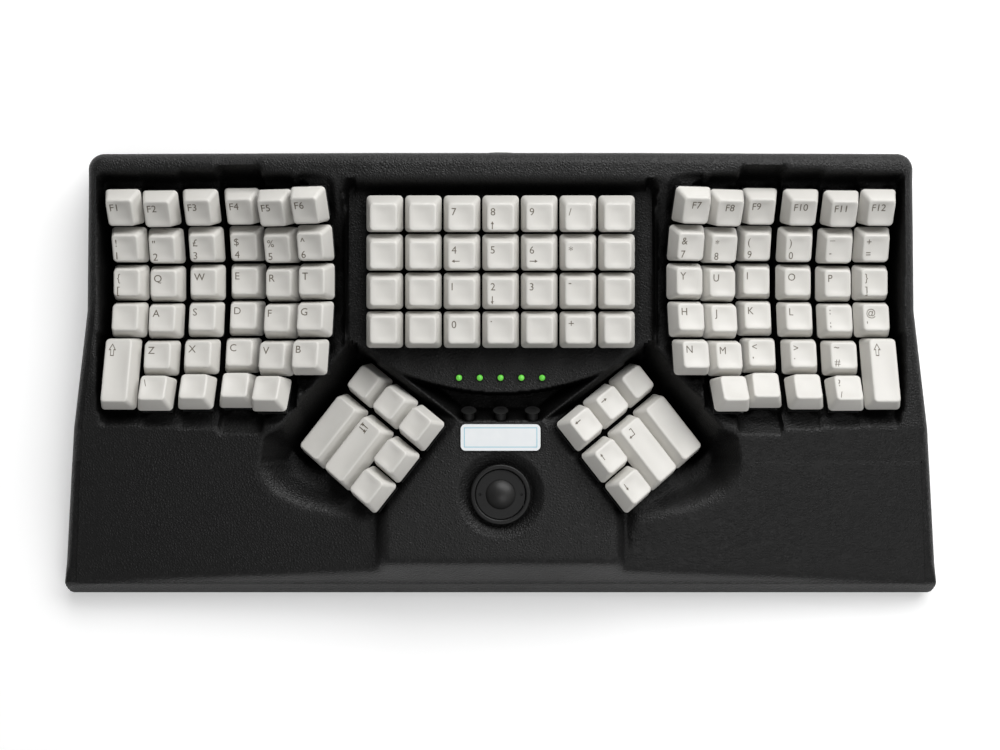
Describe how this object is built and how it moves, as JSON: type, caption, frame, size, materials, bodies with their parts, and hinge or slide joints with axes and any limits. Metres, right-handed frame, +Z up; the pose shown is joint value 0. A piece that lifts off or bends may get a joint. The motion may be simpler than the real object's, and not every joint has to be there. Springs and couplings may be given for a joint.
{
  "type": "ergonomic keyboard",
  "caption": "Split contoured keyboard with hollow key wells, thumb clusters, a flat number panel and a small trackball in a one-piece shell with palm rests.",
  "frame": {"origin": "bottom centre of the bounding box, on the surface the keyboard stands on", "axes": "+X to the user's right, +Y away from the user, +Z up"},
  "size_m": [0.4516, 0.2276, 0.055],
  "materials": {
    "shell_black": "satin with a fine leather grain",
    "base_black": "satin",
    "cap_grey": "satin",
    "switch_black": "satin",
    "ball_black": "polished",
    "ring_black": "satin",
    "button_black": "satin",
    "screw_steel": "zinc plated",
    "foot_rubber": "matt",
    "light_green": "clear tinted",
    "board_green": "solder resist",
    "badge_white": "smooth",
    "roller_steel": "ground"
  },
  "bodies": {
    "case": {"top_shell": "shell_black", "base_plate": "base_black", "base_screws": "screw_steel", "screw_blocks": "base_black", "rubber_feet": "foot_rubber", "switch_housings_left": "switch_black", "switch_housings_centre": "switch_black", "switch_housings_right": "switch_black", "trackball_cup": "ring_black", "trackball_bezel": "ring_black", "retaining_ring": "ring_black", "button_switches": "switch_black", "indicator_lights": "light_green", "indicator_board": "board_green", "controller_board": "board_green", "board_pillars": "base_black", "badge_plate": "badge_white", "cable_grommet": "foot_rubber"},
    "keys_left_function_outer": {"keys_left_function_outer": "cap_grey"},
    "keys_left_function_inner": {"keys_left_function_inner": "cap_grey"},
    "keys_left_number_outer": {"keys_left_number_outer": "cap_grey"},
    "keys_left_number_inner": {"keys_left_number_inner": "cap_grey"},
    "keys_left_upper_outer": {"keys_left_upper_outer": "cap_grey"},
    "keys_left_upper_inner": {"keys_left_upper_inner": "cap_grey"},
    "keys_left_home_outer": {"keys_left_home_outer": "cap_grey"},
    "keys_left_home_inner": {"keys_left_home_inner": "cap_grey"},
    "keys_left_lower_outer": {"keys_left_lower_outer": "cap_grey"},
    "keys_left_lower_inner": {"keys_left_lower_inner": "cap_grey"},
    "keys_left_bottom_outer": {"keys_left_bottom_outer": "cap_grey"},
    "keys_left_bottom_inner": {"keys_left_bottom_inner": "cap_grey"},
    "key_left_tall": {"key_left_tall": "cap_grey"},
    "keys_left_thumb_back": {"keys_left_thumb_back": "cap_grey"},
    "keys_left_thumb_bars": {"keys_left_thumb_bars": "cap_grey"},
    "keys_left_thumb_inner": {"keys_left_thumb_inner": "cap_grey"},
    "keys_right_function_outer": {"keys_right_function_outer": "cap_grey"},
    "keys_right_function_inner": {"keys_right_function_inner": "cap_grey"},
    "keys_right_number_outer": {"keys_right_number_outer": "cap_grey"},
    "keys_right_number_inner": {"keys_right_number_inner": "cap_grey"},
    "keys_right_upper_outer": {"keys_right_upper_outer": "cap_grey"},
    "keys_right_upper_inner": {"keys_right_upper_inner": "cap_grey"},
    "keys_right_home_outer": {"keys_right_home_outer": "cap_grey"},
    "keys_right_home_inner": {"keys_right_home_inner": "cap_grey"},
    "keys_right_lower_outer": {"keys_right_lower_outer": "cap_grey"},
    "keys_right_lower_inner": {"keys_right_lower_inner": "cap_grey"},
    "keys_right_bottom_outer": {"keys_right_bottom_outer": "cap_grey"},
    "keys_right_bottom_inner": {"keys_right_bottom_inner": "cap_grey"},
    "key_right_tall": {"key_right_tall": "cap_grey"},
    "keys_right_thumb_back": {"keys_right_thumb_back": "cap_grey"},
    "keys_right_thumb_bars": {"keys_right_thumb_bars": "cap_grey"},
    "keys_right_thumb_inner": {"keys_right_thumb_inner": "cap_grey"},
    "keys_centre_row_1": {"keys_centre_row_1": "cap_grey"},
    "keys_centre_row_2": {"keys_centre_row_2": "cap_grey"},
    "keys_centre_row_3": {"keys_centre_row_3": "cap_grey"},
    "keys_centre_row_4": {"keys_centre_row_4": "cap_grey"},
    "push_button_left": {"push_button_left": "button_black"},
    "push_button_middle": {"push_button_middle": "button_black"},
    "push_button_right": {"push_button_right": "button_black"},
    "trackball": {"trackball": "ball_black"},
    "roller_front": {"roller_front": "roller_steel"},
    "roller_side": {"roller_side": "roller_steel"}
  },
  "joints": [
    {"name": "press_keys_left_function_outer", "type": "slide", "parent": "case", "child": "keys_left_function_outer", "axis": [0.079, 0.4226, -0.9029], "range_m": [0, 0.004], "stiffness_N_per_m": 600, "springref_m": -0.002},
    {"name": "press_keys_left_function_inner", "type": "slide", "parent": "case", "child": "keys_left_function_inner", "axis": [0.2039, 0.4226, -0.8831], "range_m": [0, 0.004], "stiffness_N_per_m": 300, "springref_m": -0.002},
    {"name": "press_keys_left_number_outer", "type": "slide", "parent": "case", "child": "keys_left_number_outer", "axis": [0.0846, 0.2419, -0.9666], "range_m": [0, 0.004], "stiffness_N_per_m": 600, "springref_m": -0.002},
    {"name": "press_keys_left_number_inner", "type": "slide", "parent": "case", "child": "keys_left_number_inner", "axis": [0.2183, 0.2419, -0.9454], "range_m": [0, 0.004], "stiffness_N_per_m": 300, "springref_m": -0.002},
    {"name": "press_keys_left_upper_outer", "type": "slide", "parent": "case", "child": "keys_left_upper_outer", "axis": [0.0872, 0, -0.9962], "range_m": [0, 0.004], "stiffness_N_per_m": 600, "springref_m": -0.002},
    {"name": "press_keys_left_upper_inner", "type": "slide", "parent": "case", "child": "keys_left_upper_inner", "axis": [0.225, 0, -0.9744], "range_m": [0, 0.004], "stiffness_N_per_m": 300, "springref_m": -0.002},
    {"name": "press_keys_left_home_outer", "type": "slide", "parent": "case", "child": "keys_left_home_outer", "axis": [0.0861, -0.1564, -0.9839], "range_m": [0, 0.004], "stiffness_N_per_m": 600, "springref_m": -0.002},
    {"name": "press_keys_left_home_inner", "type": "slide", "parent": "case", "child": "keys_left_home_inner", "axis": [0.2222, -0.1564, -0.9624], "range_m": [0, 0.004], "stiffness_N_per_m": 300, "springref_m": -0.002},
    {"name": "press_keys_left_lower_outer", "type": "slide", "parent": "case", "child": "keys_left_lower_outer", "axis": [0.0856, -0.1908, -0.9779], "range_m": [0, 0.004], "stiffness_N_per_m": 450, "springref_m": -0.002},
    {"name": "press_keys_left_lower_inner", "type": "slide", "parent": "case", "child": "keys_left_lower_inner", "axis": [0.2208, -0.1908, -0.9565], "range_m": [0, 0.004], "stiffness_N_per_m": 300, "springref_m": -0.002},
    {"name": "press_keys_left_bottom_outer", "type": "slide", "parent": "case", "child": "keys_left_bottom_outer", "axis": [0.0777, -0.454, -0.8876], "range_m": [0, 0.004], "stiffness_N_per_m": 450, "springref_m": -0.002},
    {"name": "press_keys_left_bottom_inner", "type": "slide", "parent": "case", "child": "keys_left_bottom_inner", "axis": [0.2004, -0.454, -0.8682], "range_m": [0, 0.004], "stiffness_N_per_m": 150, "springref_m": -0.002},
    {"name": "press_key_left_tall", "type": "slide", "parent": "case", "child": "key_left_tall", "axis": [0.0842, -0.2588, -0.9623], "range_m": [0, 0.004], "stiffness_N_per_m": 150, "springref_m": -0.002},
    {"name": "press_keys_left_thumb_back", "type": "slide", "parent": "case", "child": "keys_left_thumb_back", "axis": [0.3454, -0.2699, -0.8988], "range_m": [0, 0.004], "stiffness_N_per_m": 450, "springref_m": -0.002},
    {"name": "press_keys_left_thumb_bars", "type": "slide", "parent": "case", "child": "keys_left_thumb_bars", "axis": [0.3454, -0.2699, -0.8988], "range_m": [0, 0.004], "stiffness_N_per_m": 300, "springref_m": -0.002},
    {"name": "press_keys_left_thumb_inner", "type": "slide", "parent": "case", "child": "keys_left_thumb_inner", "axis": [0.3454, -0.2699, -0.8988], "range_m": [0, 0.004], "stiffness_N_per_m": 300, "springref_m": -0.002},
    {"name": "press_keys_right_function_outer", "type": "slide", "parent": "case", "child": "keys_right_function_outer", "axis": [-0.079, 0.4226, -0.9029], "range_m": [0, 0.004], "stiffness_N_per_m": 600, "springref_m": -0.002},
    {"name": "press_keys_right_function_inner", "type": "slide", "parent": "case", "child": "keys_right_function_inner", "axis": [-0.2039, 0.4226, -0.8831], "range_m": [0, 0.004], "stiffness_N_per_m": 300, "springref_m": -0.002},
    {"name": "press_keys_right_number_outer", "type": "slide", "parent": "case", "child": "keys_right_number_outer", "axis": [-0.0846, 0.2419, -0.9666], "range_m": [0, 0.004], "stiffness_N_per_m": 600, "springref_m": -0.002},
    {"name": "press_keys_right_number_inner", "type": "slide", "parent": "case", "child": "keys_right_number_inner", "axis": [-0.2183, 0.2419, -0.9454], "range_m": [0, 0.004], "stiffness_N_per_m": 300, "springref_m": -0.002},
    {"name": "press_keys_right_upper_outer", "type": "slide", "parent": "case", "child": "keys_right_upper_outer", "axis": [-0.0872, 0, -0.9962], "range_m": [0, 0.004], "stiffness_N_per_m": 600, "springref_m": -0.002},
    {"name": "press_keys_right_upper_inner", "type": "slide", "parent": "case", "child": "keys_right_upper_inner", "axis": [-0.225, 0, -0.9744], "range_m": [0, 0.004], "stiffness_N_per_m": 300, "springref_m": -0.002},
    {"name": "press_keys_right_home_outer", "type": "slide", "parent": "case", "child": "keys_right_home_outer", "axis": [-0.0861, -0.1564, -0.9839], "range_m": [0, 0.004], "stiffness_N_per_m": 600, "springref_m": -0.002},
    {"name": "press_keys_right_home_inner", "type": "slide", "parent": "case", "child": "keys_right_home_inner", "axis": [-0.2222, -0.1564, -0.9624], "range_m": [0, 0.004], "stiffness_N_per_m": 300, "springref_m": -0.002},
    {"name": "press_keys_right_lower_outer", "type": "slide", "parent": "case", "child": "keys_right_lower_outer", "axis": [-0.0856, -0.1908, -0.9779], "range_m": [0, 0.004], "stiffness_N_per_m": 450, "springref_m": -0.002},
    {"name": "press_keys_right_lower_inner", "type": "slide", "parent": "case", "child": "keys_right_lower_inner", "axis": [-0.2208, -0.1908, -0.9565], "range_m": [0, 0.004], "stiffness_N_per_m": 300, "springref_m": -0.002},
    {"name": "press_keys_right_bottom_outer", "type": "slide", "parent": "case", "child": "keys_right_bottom_outer", "axis": [-0.0777, -0.454, -0.8876], "range_m": [0, 0.004], "stiffness_N_per_m": 450, "springref_m": -0.002},
    {"name": "press_keys_right_bottom_inner", "type": "slide", "parent": "case", "child": "keys_right_bottom_inner", "axis": [-0.2004, -0.454, -0.8682], "range_m": [0, 0.004], "stiffness_N_per_m": 150, "springref_m": -0.002},
    {"name": "press_key_right_tall", "type": "slide", "parent": "case", "child": "key_right_tall", "axis": [-0.0842, -0.2588, -0.9623], "range_m": [0, 0.004], "stiffness_N_per_m": 150, "springref_m": -0.002},
    {"name": "press_keys_right_thumb_back", "type": "slide", "parent": "case", "child": "keys_right_thumb_back", "axis": [-0.3454, -0.2699, -0.8988], "range_m": [0, 0.004], "stiffness_N_per_m": 450, "springref_m": -0.002},
    {"name": "press_keys_right_thumb_bars", "type": "slide", "parent": "case", "child": "keys_right_thumb_bars", "axis": [-0.3454, -0.2699, -0.8988], "range_m": [0, 0.004], "stiffness_N_per_m": 300, "springref_m": -0.002},
    {"name": "press_keys_right_thumb_inner", "type": "slide", "parent": "case", "child": "keys_right_thumb_inner", "axis": [-0.3454, -0.2699, -0.8988], "range_m": [0, 0.004], "stiffness_N_per_m": 300, "springref_m": -0.002},
    {"name": "press_keys_centre_row_1", "type": "slide", "parent": "case", "child": "keys_centre_row_1", "axis": [0, 0, -1], "range_m": [0, 0.004], "stiffness_N_per_m": 1050, "springref_m": -0.002},
    {"name": "press_keys_centre_row_2", "type": "slide", "parent": "case", "child": "keys_centre_row_2", "axis": [0, 0, -1], "range_m": [0, 0.004], "stiffness_N_per_m": 1050, "springref_m": -0.002},
    {"name": "press_keys_centre_row_3", "type": "slide", "parent": "case", "child": "keys_centre_row_3", "axis": [0, 0, -1], "range_m": [0, 0.004], "stiffness_N_per_m": 1050, "springref_m": -0.002},
    {"name": "press_keys_centre_row_4", "type": "slide", "parent": "case", "child": "keys_centre_row_4", "axis": [0, 0, -1], "range_m": [0, 0.004], "stiffness_N_per_m": 1050, "springref_m": -0.002},
    {"name": "press_push_button_left", "type": "slide", "parent": "case", "child": "push_button_left", "axis": [0, -0.866, -0.5], "range_m": [0, 0.001], "stiffness_N_per_m": 300, "springref_m": -0.0015},
    {"name": "press_push_button_middle", "type": "slide", "parent": "case", "child": "push_button_middle", "axis": [0, -0.866, -0.5], "range_m": [0, 0.001], "stiffness_N_per_m": 300, "springref_m": -0.0015},
    {"name": "press_push_button_right", "type": "slide", "parent": "case", "child": "push_button_right", "axis": [0, -0.866, -0.5], "range_m": [0, 0.001], "stiffness_N_per_m": 300, "springref_m": -0.0015},
    {"name": "ball_roll", "type": "hinge", "parent": "case", "child": "trackball", "pos_m": [0, -0.0593, 0.0271], "axis": [1, 0, 0], "continuous": true},
    {"name": "front_roller_turn", "type": "hinge", "parent": "case", "child": "roller_front", "pos_m": [0, -0.07095, 0.0271], "axis": [1, 0, 0], "continuous": true},
    {"name": "side_roller_turn", "type": "hinge", "parent": "case", "child": "roller_side", "pos_m": [0.01165, -0.0593, 0.0271], "axis": [0, 1, 0], "continuous": true}
  ],
  "couplings": [
    {"joint": "front_roller_turn", "follows": "ball_roll", "ratio": -6.25}
  ]
}
